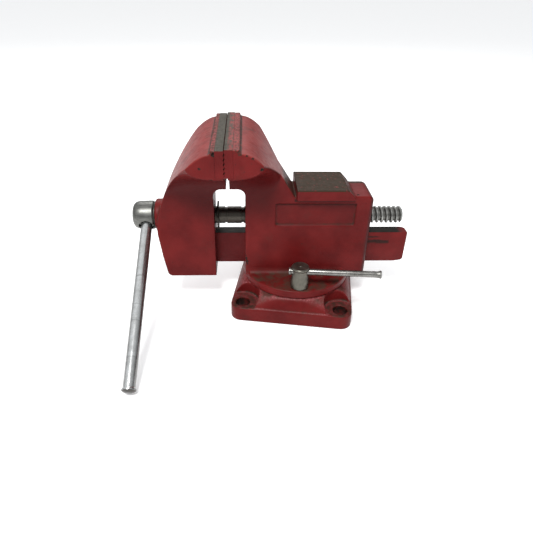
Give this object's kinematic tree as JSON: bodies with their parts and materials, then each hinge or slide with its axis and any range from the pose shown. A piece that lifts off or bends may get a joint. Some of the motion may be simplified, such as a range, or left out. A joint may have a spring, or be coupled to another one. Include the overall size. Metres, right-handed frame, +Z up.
{
  "type": "bench vise",
  "caption": "Workshop bench vise with sliding front jaw, small anvil, sliding handle bar and a swivel base with lock nuts.",
  "frame": {"origin": "on the swivel axis, at the underside of the base", "axes": "+X along the main screw from its handle towards its free end, +Z up from the bench, +Y across the jaws"},
  "size_m": [0.2433, 0.1934, 0.1567],
  "materials": {
    "base_enamel": "worn red enamel on cast iron",
    "body_enamel": "worn red enamel on cast iron",
    "front_jaw_enamel": "worn red enamel on cast iron",
    "slide_bar_enamel": "red enamel on the sides, bare worn steel on top",
    "jaw_steel": "bare tarnished steel, serrated face",
    "fastener_steel": "plain steel",
    "screw_steel": "bright worn steel",
    "nut_iron": "machined cast iron",
    "dark_steel": "oily dark steel",
    "handle_steel": "zinc plated steel, worn",
    "lock_steel": "zinc plated steel, worn"
  },
  "bodies": {
    "base": {"base": "base_enamel"},
    "vise_body": {"body": "body_enamel", "rear_jaw_insert": "jaw_steel", "rear_insert_screw_near": "fastener_steel", "rear_insert_screw_far": "fastener_steel", "main_nut": "nut_iron", "nut_set_screw": "dark_steel", "lock_bolt_near": "fastener_steel", "lock_bolt_far": "fastener_steel"},
    "front_jaw": {"front_jaw": "front_jaw_enamel", "slide_bar": "slide_bar_enamel", "slide_bar_pin_front": "fastener_steel", "slide_bar_pin_rear": "fastener_steel", "front_jaw_insert": "jaw_steel", "front_insert_screw_near": "fastener_steel", "front_insert_screw_far": "fastener_steel", "thrust_washer": "screw_steel"},
    "spindle": {"main_screw": "screw_steel", "retaining_clip": "dark_steel"},
    "handle": {"handle_bar": "handle_steel", "handle_cap": "handle_steel"},
    "lock_nut_near": {"lock_nut_near": "lock_steel"},
    "lock_bar_near": {"lock_bar_near": "lock_steel", "lock_bar_cap_near": "lock_steel"},
    "lock_nut_far": {"lock_nut_far": "lock_steel"},
    "lock_bar_far": {"lock_bar_far": "lock_steel", "lock_bar_cap_far": "lock_steel"}
  },
  "joints": [
    {"name": "swivel", "type": "hinge", "parent": "base", "child": "vise_body", "pos_m": [0, 0, 0.024], "axis": [0, 0, 1], "continuous": true},
    {"name": "jaw_slide", "type": "slide", "parent": "vise_body", "child": "front_jaw", "axis": [-1, 0, 0], "range_m": [0, 0.1]},
    {"name": "screw_turn", "type": "hinge", "parent": "front_jaw", "child": "spindle", "pos_m": [-0.1316, 0, 0.0812], "axis": [-1, 0, 0], "range_deg": [0, 8505]},
    {"name": "handle_slide", "type": "slide", "parent": "spindle", "child": "handle", "axis": [0, 0.8652, 0.5015], "range_m": [0, 0.141]},
    {"name": "lock_turn_near", "type": "hinge", "parent": "vise_body", "child": "lock_nut_near", "pos_m": [-0.0004, -0.0396, 0.0472], "axis": [0, 0, 1], "range_deg": [-185, 18]},
    {"name": "lock_turn_far", "type": "hinge", "parent": "vise_body", "child": "lock_nut_far", "pos_m": [-0.0004, 0.0396, 0.0472], "axis": [0, 0, 1], "range_deg": [-18, 185]},
    {"name": "lock_bar_slide_near", "type": "slide", "parent": "lock_nut_near", "child": "lock_bar_near", "axis": [-0.9962, 0.0872, 0], "range_m": [0, 0.0562]},
    {"name": "lock_bar_slide_far", "type": "slide", "parent": "lock_nut_far", "child": "lock_bar_far", "axis": [-0.9962, -0.0872, 0], "range_m": [0, 0.0562]}
  ],
  "couplings": [
    {"joint": "screw_turn", "follows": "jaw_slide", "rad_per_m": 1484.2}
  ]
}
